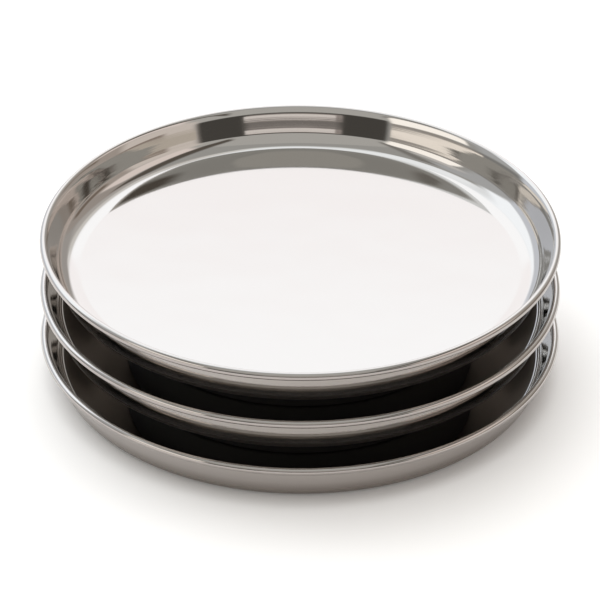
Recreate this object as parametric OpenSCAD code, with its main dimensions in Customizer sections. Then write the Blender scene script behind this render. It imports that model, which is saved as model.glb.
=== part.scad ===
// Stack of three round thali plates of polished stainless sheet.
// Each plate is double walled: a pressed dish and a deeper shell that follows its wall down to the base.
// The dish's edge is rolled over the shell's edge into a hollow bead, which holds the two together.
// Two rubber rings stand out of sight between the plates and hold them apart.
// The origin is the centre of the bottom plate's underside, with +Z up.

/* [Plate] */
// Outside diameter over the rolled rim
rim_d = 300; // [220:1:380]
// Overall height of one plate, from underside to top of rim
plate_h = 26.1; // [24:0.1:40]
// Hollow between the dish's floor and the shell's base
base_gap = 3.5; // [1:0.1:6]
// Lean of the wall from upright, in degrees
wall_lean = 20; // [12:0.5:26]

/* [Dish] */
// Thickness of the dish's sheet
sheet_t = 0.7; // [0.4:0.05:1.2]
// Inside radius of the gentle sweep where the floor starts to rise
sweep_r = 33; // [20:1:45]
// Turn of that sweep before the tighter knuckle takes over, in degrees
sweep_turn = 11; // [8:1:22]
// Inside radius of the knuckle between sweep and wall
knuckle_r = 11; // [6:0.5:13]
// Radius of the flare between wall and rim, on its upper face
flare_r = 18; // [14:0.5:24]
// Lean of the flare from upright where it meets the roll, in degrees
flare_lean = 32; // [28:1:40]

/* [Rolled rim] */
// Outside diameter of the roll
roll_d = 4.6; // [3.6:0.1:6]
// Play on each face of the shell where the dish and its roll hold it
seam_gap = 0.1; // [0.05:0.05:0.2]
// Distance by which the shell's edge stops short of the end of its seat in the roll
edge_short = 0.5; // [0.3:0.1:0.8]

/* [Shell] */
// Thickness of the shell's sheet
shell_t = 0.6; // [0.4:0.05:1]
// Outside radius where the shell's base turns up into its wall
shell_knuckle_r = 9; // [5:0.5:10.5]

/* [Stack] */
// Clear height from one plate's rim to the underside of the next
rim_gap = 5.55; // [2:0.05:40]

/* [Risers] */
// Outside diameter of a riser ring
riser_d = 200; // [60:1:220]
// Wall of a riser ring
riser_wall = 9; // [5:0.5:20]
// Rounding of a riser's four edges
riser_edge_r = 1.5; // [0.5:0.1:2.4]

/* [Hidden] */
$fn = 144;
arc_step = 6;

steel = [0.78, 0.76, 0.73];
shell_steel = [0.70, 0.68, 0.65];
rubber = [0.08, 0.08, 0.08];

// Point at radius r and angle a round the centre c, in the plane of the section
function at(c, r, a) = c + r * [cos(a), sin(a)];

// Points along an arc of radius r round the centre c, from angle a1 to angle a2
function arc(c, r, a1, a2) =
    let (count = ceil(abs(a2 - a1) / arc_step))
    [for (i = [0 : count]) at(c, r, a1 + (a2 - a1) * i / count)];

// The roll sits in the outer top corner, and the flare meets it on one common tangent
roll_r = roll_d / 2;
roll_c = [rim_d / 2 - roll_r, plate_h - roll_r];
join_a = 180 - flare_lean;
flare_c = at(roll_c, roll_r - flare_r, join_a);

// The dish's wall runs straight from the flare down to the knuckle, tangent to both
wall_a = 180 - wall_lean;
wall_top = at(flare_c, flare_r, wall_a);
floor_z = shell_t + base_gap + sheet_t;
sweep_drop = sweep_r - knuckle_r;
sweep_end = sweep_turn - 90;
knuckle_z = floor_z + sweep_r - sweep_drop * cos(sweep_turn);
wall_rise = wall_top.y - knuckle_z;
knuckle_x = wall_top.x - (knuckle_r + wall_rise * sin(wall_lean)) / cos(wall_lean);
knuckle_c = [knuckle_x, knuckle_z];
sweep_c = at(knuckle_c, -sweep_drop, sweep_end);

// The shell follows the dish's flare and wall outside, with the seam's play between them
shell_in_r = flare_r - sheet_t - seam_gap;
shell_out_r = shell_in_r - shell_t;
edge_a = join_a + edge_short / flare_r * 180 / PI;
shell_top = at(flare_c, shell_out_r, wall_a);
shell_rise = shell_top.y - shell_knuckle_r;
shell_x = shell_top.x - (shell_knuckle_r + shell_rise * sin(wall_lean)) / cos(wall_lean);
shell_c = [shell_x, shell_knuckle_r];

// The roll's tucked edge stops short of the shell's outer face, by the cosine rule between two centres
tuck_reach = shell_out_r - seam_gap;
centre_gap = flare_r - roll_r;
tuck_turn = acos((tuck_reach ^ 2 - centre_gap ^ 2 - roll_r ^ 2) / (2 * centre_gap * roll_r));
tuck_a = join_a - 360 + tuck_turn;

// Each riser fills the height between one floor and the next underside
stack_pitch = plate_h + rim_gap;
riser_h = stack_pitch - floor_z;

// Half section of the dish: out along its upper face to the tucked edge, then back along its lower face
module dish_section() {
    polygon([
        [0, floor_z],
        each arc(sweep_c, sweep_r, -90, sweep_end),
        each arc(knuckle_c, knuckle_r, sweep_end + arc_step, -wall_lean),
        each arc(flare_c, flare_r, wall_a, join_a),
        each arc(roll_c, roll_r, join_a - arc_step, tuck_a),
        each arc(roll_c, roll_r - sheet_t, tuck_a, join_a - arc_step),
        each arc(flare_c, flare_r - sheet_t, join_a, wall_a),
        each arc(knuckle_c, knuckle_r + sheet_t, -wall_lean, sweep_end + arc_step),
        each arc(sweep_c, sweep_r + sheet_t, sweep_end, -90),
        [0, floor_z - sheet_t]
    ]);
}

// Half section of the shell: out along its inner face to its edge in the roll, then back along its outer face
module shell_section() {
    polygon([
        [0, shell_t],
        each arc(shell_c, shell_knuckle_r - shell_t, -90, -wall_lean),
        each arc(flare_c, shell_in_r, wall_a, edge_a),
        each arc(flare_c, shell_out_r, edge_a, wall_a),
        each arc(shell_c, shell_knuckle_r, -wall_lean, -90),
        [0, 0]
    ]);
}

// Dish of the plate whose underside is at z
module dish(z) {
    translate([0, 0, z])
        color(steel)
            rotate_extrude()
                dish_section();
}

// Shell of the plate whose underside is at z
module shell(z) {
    translate([0, 0, z])
        color(shell_steel)
            rotate_extrude()
                shell_section();
}

// Half section of a riser: a rectangle with rounded corners
module riser_section() {
    inner_r = riser_d / 2 - riser_wall;
    translate([inner_r + riser_edge_r, 0])
        square([riser_wall - 2 * riser_edge_r, riser_h]);
    translate([inner_r, riser_edge_r])
        square([riser_wall, riser_h - 2 * riser_edge_r]);
    for (x = [riser_edge_r, riser_wall - riser_edge_r], y = [riser_edge_r, riser_h - riser_edge_r])
        translate([inner_r + x, y])
            circle(riser_edge_r);
}

// One riser standing on the floor of the plate whose underside is at z
module riser(z) {
    translate([0, 0, z + floor_z])
        color(rubber)
            rotate_extrude()
                riser_section();
}

module bottom_plate() { dish(0); }
module bottom_shell() { shell(0); }
module lower_riser() { riser(0); }
module middle_plate() { dish(stack_pitch); }
module middle_shell() { shell(stack_pitch); }
module upper_riser() { riser(stack_pitch); }
module top_plate() { dish(2 * stack_pitch); }
module top_shell() { shell(2 * stack_pitch); }

bottom_plate();
bottom_shell();
lower_riser();
middle_plate();
middle_shell();
upper_riser();
top_plate();
top_shell();
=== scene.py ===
import math

import bpy
import numpy as np
from mathutils import Matrix, Vector


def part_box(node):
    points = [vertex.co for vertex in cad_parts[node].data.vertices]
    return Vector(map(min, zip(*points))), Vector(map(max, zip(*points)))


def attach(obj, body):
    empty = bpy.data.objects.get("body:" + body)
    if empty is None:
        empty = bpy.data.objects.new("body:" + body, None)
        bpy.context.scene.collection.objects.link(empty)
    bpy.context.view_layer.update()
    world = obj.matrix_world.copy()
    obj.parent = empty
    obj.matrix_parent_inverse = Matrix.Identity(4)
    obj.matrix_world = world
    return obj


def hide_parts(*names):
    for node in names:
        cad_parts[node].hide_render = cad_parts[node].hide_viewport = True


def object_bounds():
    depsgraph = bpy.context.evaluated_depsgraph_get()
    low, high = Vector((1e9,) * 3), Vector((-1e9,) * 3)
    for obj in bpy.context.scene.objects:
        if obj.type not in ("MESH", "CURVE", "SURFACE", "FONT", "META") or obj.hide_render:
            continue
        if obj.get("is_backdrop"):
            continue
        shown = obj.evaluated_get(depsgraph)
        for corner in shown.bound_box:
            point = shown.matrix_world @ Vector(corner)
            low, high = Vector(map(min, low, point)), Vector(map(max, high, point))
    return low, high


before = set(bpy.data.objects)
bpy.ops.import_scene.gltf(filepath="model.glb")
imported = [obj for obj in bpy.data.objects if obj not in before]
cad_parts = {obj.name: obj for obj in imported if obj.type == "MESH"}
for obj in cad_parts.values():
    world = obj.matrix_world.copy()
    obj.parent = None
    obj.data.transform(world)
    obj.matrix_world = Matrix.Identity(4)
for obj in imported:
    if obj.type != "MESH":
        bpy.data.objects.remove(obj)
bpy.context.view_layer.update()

# Dishes
# The inner half of each double-walled thali is a disc of stainless sheet, pressed to shape and trued on a
# spinning lathe. Its edge is rolled outwards over the shell's edge into a hollow bead, then polished.

MM = 0.001

# Half section of the sheet: radii of its upper face, turns and leans from upright in degrees
SHEET_T = 0.7 * MM
SWEEP_R = 33 * MM
SWEEP_TURN = 11
KNUCKLE_R = 11 * MM
WALL_LEAN = 20
FLARE_R = 18 * MM
FLARE_LEAN = 32
ROLL_R = 2.3 * MM

# Extra lean of the wall at its foot and head, in degrees, which bows it by about 0.02 mm
WALL_EASE = 0.8

# The shell's sheet under the flare, which the roll's tucked edge stops short of
SHELL_T = 0.6 * MM
SEAM_GAP = 0.1 * MM
SHELL_IN_R = FLARE_R - SHEET_T - SEAM_GAP
SHELL_OUT_R = SHELL_IN_R - SHELL_T

# Mesh: degrees to a step of an arc, then steps up the wall, across a floor and round the axis
ARC_STEP = 4
WALL_STEPS = 12
FLOOR_STEPS = 10
AROUND = 420


def polar(radius, angle):
    """Point at that radius and angle in degrees, in the plane of a section."""
    return radius * np.array([math.cos(math.radians(angle)), math.sin(math.radians(angle))])


def arc(centre, radius, start, end, side=1):
    """Points centre + radius * (cos a, sin a) for angles a from start to end, and the normals there.
    The normals point away from the centre, or towards it when side is -1."""
    count = math.ceil(abs(end - start) / ARC_STEP)
    a = np.radians(np.linspace(start, end, count + 1))
    out = np.stack([np.cos(a), np.sin(a)], axis=1)
    return np.hstack([centre + radius * out, side * out])


def flat(radius, height, facing):
    """Points of a level floor, evenly spaced between the axis and that radius, with normals up or down."""
    radii = np.linspace(0, radius, FLOOR_STEPS + 1)[1:-1]
    return np.stack([radii, 0 * radii + height, 0 * radii, 0 * radii + facing], axis=1)


def foot_centre(foot_r, foot_z, wall_top):
    """Centre, at height foot_z, of the arc of radius foot_r that touches the wall's line. That line runs down
    from wall_top at the wall's lean."""
    lean = math.radians(WALL_LEAN)
    run = (foot_r + (wall_top[1] - foot_z) * math.sin(lean)) / math.cos(lean)
    return np.array([wall_top[0] - run, foot_z])


def eased_wall(foot, head):
    """Wall between the end of the knuckle and the start of the flare. Its lean falls steadily from both ends
    to the middle, so at the share t of its length it strays from the straight line by
    ease * length * (t - 2 t^2) in the lower half. The upper half strays by as much the other way."""
    run = head[:2] - foot[:2]
    lean = math.atan2(run[0], run[1])
    ease = math.radians(WALL_LEAN + WALL_EASE) - lean
    t = np.linspace(0, 1, WALL_STEPS + 1)[1:-1, None]
    part = np.minimum(t, 1 - t)
    bow = np.where(t < 0.5, 1, -1) * ease * (part - 2 * part ** 2)
    phi = lean + ease * (1 - 4 * part)
    points = foot[:2] + t * run + bow * np.array([run[1], -run[0]])
    return np.hstack([points, -np.cos(phi), np.sin(phi)])


def rim_centres(rim_r, top):
    """Centre of the roll in the outer top corner, and of the flare that meets it on a common tangent."""
    roll_c = np.array([rim_r - ROLL_R, top - ROLL_R])
    return roll_c, roll_c + polar(ROLL_R - FLARE_R, 180 - FLARE_LEAN)


def dish_section(rim_r, bottom, top):
    """Half section of a dish, as rows of radius, height and normal, in the order of its surface: floor,
    sweep, knuckle, wall, flare and roll along the upper face, then the same back along the lower face.
    The roll's tucked edge is where the cosine rule puts it, just short of the shell's outer face."""
    join = 180 - FLARE_LEAN
    wall = 180 - WALL_LEAN
    roll_c, flare_c = rim_centres(rim_r, top)
    drop = SWEEP_R - KNUCKLE_R
    sweep_end = SWEEP_TURN - 90
    knuckle_z = bottom + SHEET_T + SWEEP_R - drop * math.cos(math.radians(SWEEP_TURN))
    knuckle_c = foot_centre(KNUCKLE_R, knuckle_z, flare_c + polar(FLARE_R, wall))
    sweep_c = knuckle_c - polar(drop, sweep_end)
    reach = SHELL_OUT_R - SEAM_GAP
    gap = FLARE_R - ROLL_R
    turn = math.acos((reach ** 2 - gap ** 2 - ROLL_R ** 2) / (2 * gap * ROLL_R))
    tuck = join - 360 + math.degrees(turn)
    knuckle = arc(knuckle_c, KNUCKLE_R, sweep_end, -WALL_LEAN - WALL_EASE, -1)
    flare = arc(flare_c, FLARE_R, wall - WALL_EASE, join)
    return np.vstack([
        flat(sweep_c[0], bottom + SHEET_T, 1),
        arc(sweep_c, SWEEP_R, -90, sweep_end, -1),
        knuckle[1:],
        eased_wall(knuckle[-1], flare[0]),
        flare,
        arc(roll_c, ROLL_R, join, tuck)[1:],
        arc(roll_c, ROLL_R - SHEET_T, tuck, join, -1)[:-1],
        arc(flare_c, FLARE_R - SHEET_T, join, wall, -1),
        arc(knuckle_c, KNUCKLE_R + SHEET_T, -WALL_LEAN, sweep_end)[:-1],
        arc(sweep_c, SWEEP_R + SHEET_T, sweep_end, -90),
        flat(sweep_c[0], bottom, -1)[::-1],
    ])


def spin(name, section, closed=False):
    """Surface of revolution: the section's point at radius r and height z goes to (r cos t, r sin t, z)
    for every angle t. An open section is closed at its two ends by a point on the axis. The distance along
    the section, from the axis, is kept as the attribute along."""
    t = np.linspace(0, 2 * np.pi, AROUND, endpoint=False)
    turn = np.stack([np.cos(t), np.sin(t)], axis=1)
    rows = len(section)

    def revolve(radial, height):
        level = radial[:, None, None] * turn[None]
        rise = np.broadcast_to(height[:, None, None], (rows, AROUND, 1))
        return np.concatenate([level, rise], axis=2).reshape(-1, 3)

    points = revolve(section[:, 0], section[:, 1])
    normals = revolve(section[:, 2], section[:, 3])
    steps = np.hypot(*np.diff(section[:, :2], axis=0).T)
    along = np.repeat(section[0, 0] + np.r_[0, np.cumsum(steps)], AROUND)
    ring = np.arange(AROUND)
    after = np.roll(ring, -1)
    near = np.arange(rows if closed else rows - 1)[:, None] * AROUND
    far = (near + AROUND) % (rows * AROUND)
    faces = np.stack([near + ring, far + ring, far + after, near + after], axis=2).reshape(-1, 4).tolist()
    if not closed:
        first = rows * AROUND
        last = first + 1
        rim = (rows - 1) * AROUND
        points = np.vstack([points, [[0, 0, section[0, 1]], [0, 0, section[-1, 1]]]])
        normals = np.vstack([normals, [[0, 0, section[0, 3]], [0, 0, section[-1, 3]]]])
        along = np.r_[along, 0, along[-1] + section[-1, 0]]
        faces += np.stack([0 * ring + first, ring, after], axis=1).tolist()
        faces += np.stack([0 * ring + last, rim + after, rim + ring], axis=1).tolist()
    mesh = bpy.data.meshes.new(name)
    mesh.from_pydata(points, [], faces)
    mesh.polygons.foreach_set("use_smooth", np.ones(len(faces), bool))
    mesh.normals_split_custom_set_from_vertices(normals)
    mesh.attributes.new("along", "FLOAT", "POINT").data.foreach_set("value", along.astype(np.float32))
    piece = bpy.data.objects.new(name, mesh)
    bpy.context.scene.collection.objects.link(piece)
    return piece


def linear(code):
    """sRGB hex code to the linear colour that the shaders work in."""
    srgb = np.array([int(code[i:i + 2], 16) for i in (1, 3, 5)]) / 255
    rgb = np.where(srgb <= 0.04045, srgb / 12.92, ((srgb + 0.055) / 1.055) ** 2.4)
    return (*rgb, 1.0)


def add(tree, kind, values=None, links=None, **settings):
    """Adds one node, sets its properties and input values, and links its inputs to other nodes' outputs."""
    made = tree.nodes.new(kind)
    for name, value in settings.items():
        setattr(made, name, value)
    for name, value in (values or {}).items():
        made.inputs[name].default_value = value
    for name, socket in (links or {}).items():
        tree.links.new(socket, made.inputs[name])
    return made


# Rings that the roller left, which start over the upper half of the knuckle. Real ones lie about half a
# millimetre apart, and these are drawn coarser, so that they show.
RING_PITCH = 2.2 * MM
RING_DEPTH = 0.012 * MM
RINGS_FROM = (138 * MM, 143 * MM)

# Slow waves that pressing leaves in the sheet, and smears from handling, which dull the polish here and there
WAVE_SPAN = 45 * MM
WAVE_DEPTH = 0.08 * MM
SMEAR_SPAN = 18 * MM
POLISH_ROUGHNESS = (0.035, 0.075)

# The polish gives way on the bead's outer side, between its crown and its widest point. There its darker
# tone is painted shade, which dims the bead's reflection of the table.
DISH_TONE = "#D6D4D1"
BEAD_SHADE_TONE = "#A9A29E"
BEAD_ROUGHNESS = 0.1
DULL_SHADED_BEAD = (161.2 * MM, 163 * MM)


def polished_stainless(name, tone, dull_shaded_tone, dull_roughness, fade):
    """Stainless sheet, mirror polished on a spindle. The rings on wall and rim break up what they mirror into
    fine lines. The floor is smoother, and shows smears and slow waves. Along the section, between the two
    distances of fade, the polish gives way to a rougher skin, where the wheel reached less or not at all, and
    the colour to a darker tone, which is painted shade."""
    material = bpy.data.materials.new(name)
    material.use_nodes = True
    tree = material.node_tree
    tree.nodes.clear()
    place = add(tree, "ShaderNodeTexCoord").outputs["Object"]
    along = add(tree, "ShaderNodeAttribute", attribute_name="along").outputs["Fac"]
    ring = add(tree, "ShaderNodeTexNoise", {"Scale": 1 / RING_PITCH, "Detail": 2.0}, {"W": along},
               noise_dimensions="1D").outputs["Fac"]
    spun = add(tree, "ShaderNodeMapRange", {"From Min": RINGS_FROM[0], "From Max": RINGS_FROM[1]},
               {"Value": along}).outputs["Result"]
    ridges = add(tree, "ShaderNodeMath", links={0: ring, 1: spun}, operation="MULTIPLY").outputs[0]
    rings = add(tree, "ShaderNodeBump", {"Strength": 1.0, "Distance": RING_DEPTH}, {"Height": ridges})
    wave = add(tree, "ShaderNodeTexNoise", {"Scale": 1 / WAVE_SPAN, "Detail": 1.0}, {"Vector": place})
    bump = add(tree, "ShaderNodeBump", {"Strength": 1.0, "Distance": WAVE_DEPTH},
               {"Height": wave.outputs["Fac"], "Normal": rings.outputs["Normal"]})
    smear = add(tree, "ShaderNodeTexNoise", {"Scale": 1 / SMEAR_SPAN, "Detail": 4.0}, {"Vector": place})
    rough = add(tree, "ShaderNodeMapRange", {"To Min": POLISH_ROUGHNESS[0], "To Max": POLISH_ROUGHNESS[1]},
                {"Value": smear.outputs["Fac"]})
    dull_shaded_share = add(tree, "ShaderNodeMapRange", {"From Min": fade[0], "From Max": fade[1]},
               {"Value": along}).outputs["Result"]
    gloss = add(tree, "ShaderNodeMix", {"B": dull_roughness}, {"Factor": dull_shaded_share, "A": rough.outputs["Result"]})
    # The darker tone mixed in here is painted shade
    shade = add(tree, "ShaderNodeMix", {"A": linear(tone), "B": linear(dull_shaded_tone)}, {"Factor": dull_shaded_share},
                data_type="RGBA")
    steel = add(tree, "ShaderNodeBsdfPrincipled", {"Metallic": 1.0},
                {"Base Color": shade.outputs["Result"], "Roughness": gloss.outputs["Result"],
                 "Normal": bump.outputs["Normal"]})
    add(tree, "ShaderNodeOutputMaterial", links={"Surface": steel.outputs["BSDF"]})
    return material


# The darker tone on the bead is painted shade
stainless = polished_stainless("polished_stainless", DISH_TONE, BEAD_SHADE_TONE, BEAD_ROUGHNESS, DULL_SHADED_BEAD)
for name in ("bottom_plate", "middle_plate", "top_plate"):
    low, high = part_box(name)
    dish = spin(name + "_sheet", dish_section(min(high.x, high.y), low.z, high.z))
    dish.data.materials.append(stainless)
    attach(dish, name)
    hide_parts(name)

# Shells
# The outer half of each thali is a second pressed sheet. It follows the dish's wall outside, runs on below
# the dish's floor to the base that the plate stands on, and its edge is caught in the dish's roll.

SHELL_KNUCKLE_R = 9 * MM
EDGE_SHORT = 0.5 * MM

# The outside wall has the dish's polish in a darker tone, which is painted shade that dims its reflection of
# the table. Its polish gives way between the lower wall and the middle of the knuckle, and the base keeps the
# matt skin of the rolling mill, in a darker tone still, which is painted shade in the gaps between the
# plates.
SHELL_SHADE_TONE = "#B9B3AF"
MILL_SKIN_AND_GAP_SHADE_TONE = "#82786F"
MILL_ROUGHNESS = 0.5
DULL_SHADED_BASE = (174 * MM, 188 * MM)


def shell_section(rim_r, bottom, top):
    """Half section of a shell, as rows of radius, height and normal, in the order of its surface: base,
    knuckle, wall and flare along the inner face to the edge, then the same back along the outer face.
    rim_r and top are those of the dish that holds it."""
    wall = 180 - WALL_LEAN
    edge = 180 - FLARE_LEAN + math.degrees(EDGE_SHORT / FLARE_R)
    flare_c = rim_centres(rim_r, top)[1]
    foot_c = foot_centre(SHELL_KNUCKLE_R, bottom + SHELL_KNUCKLE_R, flare_c + polar(SHELL_OUT_R, wall))
    return np.vstack([
        flat(foot_c[0], bottom + SHELL_T, 1),
        arc(foot_c, SHELL_KNUCKLE_R - SHELL_T, -90, -WALL_LEAN, -1),
        arc(flare_c, SHELL_IN_R, wall, edge),
        arc(flare_c, SHELL_OUT_R, edge, wall, -1),
        arc(foot_c, SHELL_KNUCKLE_R, -WALL_LEAN, -90),
        flat(foot_c[0], bottom, -1)[::-1],
    ])


# Both darker tones of the shell are painted shade, on its wall and on its base
half_polished_shaded = polished_stainless("stainless_with_mill_finish_and_painted_shade", SHELL_SHADE_TONE, MILL_SKIN_AND_GAP_SHADE_TONE,
                                   MILL_ROUGHNESS, DULL_SHADED_BASE)
for body in ("bottom_plate", "middle_plate", "top_plate"):
    name = body.replace("plate", "shell")
    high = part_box(body)[1]
    shell = spin(name + "_sheet", shell_section(min(high.x, high.y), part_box(name)[0].z, high.z))
    shell.data.materials.append(half_polished_shaded)
    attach(shell, body)
    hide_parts(name)

# Risers
# A plain ring of black rubber stands on each lower plate's floor and carries the plate above.
# It is moulded in one piece, with rounded edges.

RISER_WALL = 9 * MM
RISER_EDGE_R = 1.5 * MM
RUBBER_TONE = "#161514"
RUBBER_ROUGHNESS = 0.7
GRAIN_SIZE = 0.6 * MM
GRAIN_DEPTH = 0.05 * MM
GRAIN_STRENGTH = 0.4


def riser_section(outer_r, bottom, top):
    """Section of a ring: a rectangle whose four corners are arcs."""
    left = outer_r - RISER_WALL + RISER_EDGE_R
    right = outer_r - RISER_EDGE_R
    foot = bottom + RISER_EDGE_R
    head = top - RISER_EDGE_R
    corners = [((right, foot), -90), ((right, head), 0), ((left, head), 90), ((left, foot), 180)]
    return np.vstack([arc(np.array(c), RISER_EDGE_R, a, a + 90) for c, a in corners])[::-1]


def moulded_rubber():
    """Black rubber as it leaves the mould: dull, with a fine grain that keeps its highlights soft."""
    material = bpy.data.materials.new("moulded_black_rubber")
    material.use_nodes = True
    tree = material.node_tree
    tree.nodes.clear()
    place = add(tree, "ShaderNodeTexCoord").outputs["Object"]
    grain = add(tree, "ShaderNodeTexNoise", {"Scale": 1 / GRAIN_SIZE, "Detail": 3.0}, {"Vector": place})
    bump = add(tree, "ShaderNodeBump", {"Strength": GRAIN_STRENGTH, "Distance": GRAIN_DEPTH},
               {"Height": grain.outputs["Fac"]})
    rubber = add(tree, "ShaderNodeBsdfPrincipled",
                 {"Base Color": linear(RUBBER_TONE), "Roughness": RUBBER_ROUGHNESS},
                 {"Normal": bump.outputs["Normal"]})
    add(tree, "ShaderNodeOutputMaterial", links={"Surface": rubber.outputs["BSDF"]})
    return material


black_rubber = moulded_rubber()
for name in ("lower_riser", "upper_riser"):
    low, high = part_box(name)
    riser = spin(name + "_ring", riser_section(min(high.x, high.y), low.z, high.z), closed=True)
    riser.data.materials.append(black_rubber)
    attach(riser, name)
    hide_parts(name)

# Table
# A pale, plain table top that runs out of sight. It is white to the eye and in the steel,
# and keeps the shadow of the stack.

TABLE_REACH = 6.0
TABLE_DROP = 0.05 * MM
TABLE_TONE = "#FBFBFA"
PURE_WHITE = linear("#FFFFFF")

# Share of pure white near the stack, and the distances between which that share grows to the whole
TABLE_LIFT = 0.10
TABLE_FADE = (0.45, 1.3)


def white_table_top():
    """Matt white laminate, lifted towards pure white for what the camera sees, directly or in the steel,
    and more so with distance, so that it runs out into a white backdrop."""
    material = bpy.data.materials.new("white_table_top")
    material.use_nodes = True
    tree = material.node_tree
    tree.nodes.clear()
    path = add(tree, "ShaderNodeLightPath").outputs
    seen = add(tree, "ShaderNodeMath", links={0: path["Is Camera Ray"], 1: path["Is Glossy Ray"]},
               operation="MAXIMUM").outputs[0]
    place = add(tree, "ShaderNodeTexCoord").outputs["Object"]
    reach = add(tree, "ShaderNodeVectorMath", links={0: place}, operation="LENGTH").outputs["Value"]
    whiter = add(tree, "ShaderNodeMapRange",
                 {"From Min": TABLE_FADE[0], "From Max": TABLE_FADE[1], "To Min": TABLE_LIFT},
                 {"Value": reach}, interpolation_type="SMOOTHSTEP").outputs["Result"]
    lift = add(tree, "ShaderNodeMath", links={0: seen, 1: whiter}, operation="MULTIPLY").outputs[0]
    matt = add(tree, "ShaderNodeBsdfDiffuse", {"Color": linear(TABLE_TONE)}).outputs[0]
    glow = add(tree, "ShaderNodeEmission", {"Color": PURE_WHITE, "Strength": 1.0}).outputs[0]
    mixed = add(tree, "ShaderNodeMixShader", links={0: lift, 1: matt, 2: glow}).outputs[0]
    add(tree, "ShaderNodeOutputMaterial", links={"Surface": mixed})
    return material


corner = np.array([[-1, -1], [1, -1], [1, 1], [-1, 1]]) * TABLE_REACH
table_mesh = bpy.data.meshes.new("table")
table_mesh.from_pydata(np.c_[corner, np.full(4, -TABLE_DROP)], [], [[0, 1, 2, 3]])
table_mesh.materials.append(white_table_top())
table = bpy.data.objects.new("table", table_mesh)
bpy.context.scene.collection.objects.link(table)
table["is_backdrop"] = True

# Studio
# What the steel mirrors is a ring of soft cards under a grey ceiling: a white backdrop, softboxes, dim walls
# and dark cornices, with a dark side behind the camera. An overhead softbox, which the steel doesn't mirror,
# lights the table.

CEILING = ("#F6F4EF", 0.46)

# Each card is flat and upright, and covers those before it. Its numbers are its left and right azimuth, the
# azimuth of its face, its lowest and highest pitch along that azimuth, and the softness of its edges, all in
# degrees, then its colour and brightness. Azimuth 0 is the camera's side and 90 is the right of the picture.
CARDS = [
    # Above the camera
    (-48, 52, 0, 19, 84, 3, "#F8F5EF", 0.56),
    # Backdrop
    (163, 197, 180, -20, 52, 5, "#FBFCFF", 1.43),
    (158, 203, 180, -20, 31.6, 0.7, "#FBF8FA", 1.36),
    (150, 205, 180, 52, 72, 7, "#F9FCFF", 1.18),
    # Softbox at the left rear
    (-165, -122, -145, 48, 74, 6, "#F9FCFF", 1.22),
    (-166, -111, -145, 22, 48, 5, "#F6FAFF", 1.42),
    (-166, -110, -145, -20, 23, 4, "#F2F6FF", 0.84),
    # Left wall
    (-110, -84, -97, 8, 56, 4, "#F9FAFB", 0.54),
    (-110, -74, -92, -20, 8, 3, "#F6F4F0", 0.29),
    (-88, -58, -73, 32, 45, 4, "#FFFBF7", 0.66),
    # Softbox at the left of the camera, and the cornice above it
    (-86, -40, -10, 7, 18, 1.2, "#FFF6EC", 0.38),
    (-86, -40, -10, -20, 8.3, 0.6, "#FFF5EA", 1.12),
    (-78, -40, -64, 12, 35, 1.5, "#FFF9F2", 1.38),
    (-100, -38, -110, 57, 64, 2.5, "#F6F0E8", 0.28),
    # Dark side behind the camera, with a pale opening
    (-38.5, 47, 0, -20, 20.5, 1.5, "#FFF6EA", 0.075),
    (-17, 24.5, 0, -20, 17, 3, "#FFF4EC", 0.225),
    (-18, 24, 0, 9.4, 16, 0.8, "#FFF0E8", 0.36),
    (-15, 25, 0, 9.75, 13.5, 0.5, "#FFF6F0", 0.84),
    # Softbox at the right of the camera
    (47, 88, 60, -20, 23, 3, "#FFF3EA", 0.76),
    (53, 110, 80, 24, 48, 4, "#FFF1EA", 0.93),
    # Right wall and its cornice
    (84, 126, 105, -20, 24, 4, "#FFF0E4", 0.46),
    (110, 137, 122, -20, 52, 4, "#FFF2E8", 0.42),
    (99, 126, 112, 10, 19, 2.5, "#FFE6D2", 0.22),
    (33, 130, 100, 48.5, 60.5, 2.5, "#F4E4D4", 0.135),
    (62, 106, 2, 8, 17, 2.5, "#FFE8D8", 0.32),
    (47, 104, 2, -20, 9.4, 0.6, "#FFF2E2", 0.58),
    # Wall at the right rear
    (137, 166, 152, -20, 27, 4, "#FFF8F2", 0.44),
    (137, 152, 145, 27, 66, 5, "#FFF8F2", 0.54),
    (152, 166, 160, 27, 70, 5, "#FFFBF6", 0.80),
]
LAMP_PLACE = (-0.2, 0.3, 1.5)
LAMP_SIZE = 2.4
LAMP_WATTS = 32.0


def shine(code, bright):
    """Linear colour of a card at its brightness."""
    return tuple(np.array(linear(code)[:3]) * bright) + (1.0,)


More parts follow.
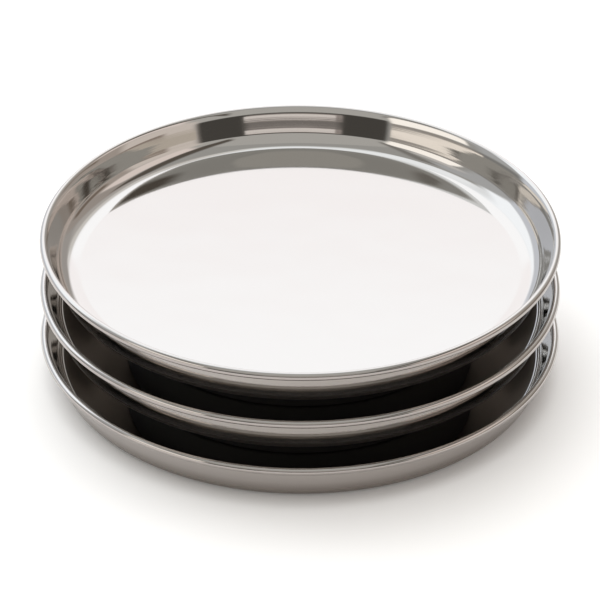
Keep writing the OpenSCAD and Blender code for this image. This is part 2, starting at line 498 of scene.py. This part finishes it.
world = bpy.data.worlds.new("soft_studio")
bpy.context.scene.world = world
world.use_nodes = True
sky = world.node_tree
sky.nodes.clear()
view = add(sky, "ShaderNodeTexCoord").outputs["Generated"]
way = add(sky, "ShaderNodeSeparateXYZ", links={"Vector": view}).outputs
turned = add(sky, "ShaderNodeMath", {1: -1.0}, {0: way["Y"]}, operation="MULTIPLY").outputs[0]
around = add(sky, "ShaderNodeMath", links={0: way["X"], 1: turned}, operation="ARCTAN2").outputs[0]
azimuth = add(sky, "ShaderNodeMath", links={0: around}, operation="DEGREES").outputs[0]
shown = add(sky, "ShaderNodeRGB").outputs[0]
shown.default_value = shine(*CEILING)
for left, right, facing, lowest, highest, soft, code, bright in CARDS:
    turn = math.radians(facing)
    ahead = add(sky, "ShaderNodeVectorMath", {1: (math.sin(turn), -math.cos(turn), 0)}, {0: view},
                operation="DOT_PRODUCT").outputs["Value"]
    pitch = add(sky, "ShaderNodeMath", links={0: way["Z"], 1: ahead}, operation="ARCTAN2").outputs[0]
    pitch = add(sky, "ShaderNodeMath", links={0: pitch}, operation="DEGREES").outputs[0]
    off = add(sky, "ShaderNodeMath", {1: (left + right) / 2}, {0: azimuth}, operation="SUBTRACT").outputs[0]
    off = add(sky, "ShaderNodeMath", {1: 180.0, 2: -180.0}, {0: off}, operation="WRAP").outputs[0]
    off = add(sky, "ShaderNodeMath", links={0: off}, operation="ABSOLUTE").outputs[0]
    half = (right - left) / 2
    sides = [
        (pitch, lowest - soft, lowest + soft),
        (pitch, highest + soft, highest - soft),
        (off, half + soft, half - soft),
    ]
    # The card covers the product of three smooth steps, each 0 outside that edge and 1 inside it
    cover = {}
    for value, outside, inside in sides:
        step = add(sky, "ShaderNodeMapRange", {"From Min": outside, "From Max": inside},
                   {"Value": value, **cover}, interpolation_type="SMOOTHSTEP")
        cover = {"To Max": step.outputs["Result"]}
    card = add(sky, "ShaderNodeMix", {"B": shine(code, bright)},
               {"Factor": step.outputs["Result"], "A": shown}, data_type="RGBA")
    shown = card.outputs["Result"]

camera_ray = add(sky, "ShaderNodeLightPath").outputs["Is Camera Ray"]
studio = add(sky, "ShaderNodeBackground", {"Strength": 1.0}, {"Color": shown})
white = add(sky, "ShaderNodeBackground", {"Color": PURE_WHITE, "Strength": 1.0})
seen = add(sky, "ShaderNodeMixShader", links={0: camera_ray, 1: studio.outputs[0], 2: white.outputs[0]})
add(sky, "ShaderNodeOutputWorld", links={"Surface": seen.outputs[0]})

lamp = bpy.data.lights.new("overhead_softbox", "AREA")
lamp.size = LAMP_SIZE
lamp.energy = LAMP_WATTS
overhead = bpy.data.objects.new("overhead_softbox", lamp)
overhead.location = LAMP_PLACE
overhead.rotation_euler = (-Vector(LAMP_PLACE)).to_track_quat("-Z", "Y").to_euler()
overhead.visible_glossy = False
bpy.context.scene.collection.objects.link(overhead)

# Camera
# A long lens from in front and above, with a small roll. It looks below the top plate's rim,
# so that the whole stack is in the picture.

PICTURE = 600
VIEW_ELEVATION = math.radians(31.4)
ROLL = math.radians(0.38)
DISTANCE = 4.3
SENSOR = 36.0
FAR_CLIP = 100.0

# Scale of the picture at the centre of the top plate's rim, and the row that this centre falls on
PIXELS_PER_METRE = 1739.7
RIM_ROW = 238.8

focal = PIXELS_PER_METRE * DISTANCE
tilt = VIEW_ELEVATION + math.atan((PICTURE / 2 - RIM_ROW) / focal)
rim_centre = Vector((0, 0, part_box("top_plate")[1].z - ROLL_R))
towards = Vector((0, -math.cos(VIEW_ELEVATION), math.sin(VIEW_ELEVATION)))
lens = bpy.data.cameras.new("long_lens")
lens.sensor_width = SENSOR
lens.lens = SENSOR * focal / PICTURE
lens.clip_end = FAR_CLIP
camera = bpy.data.objects.new("camera", lens)
bpy.context.scene.collection.objects.link(camera)
camera.location = rim_centre + towards * DISTANCE
turn = Matrix.Rotation(math.pi / 2 - tilt, 3, "X") @ Matrix.Rotation(ROLL, 3, "Z")
camera.rotation_euler = turn.to_euler()
bpy.context.scene.camera = camera
bpy.context.scene.view_settings.view_transform = "Standard"

low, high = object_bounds()
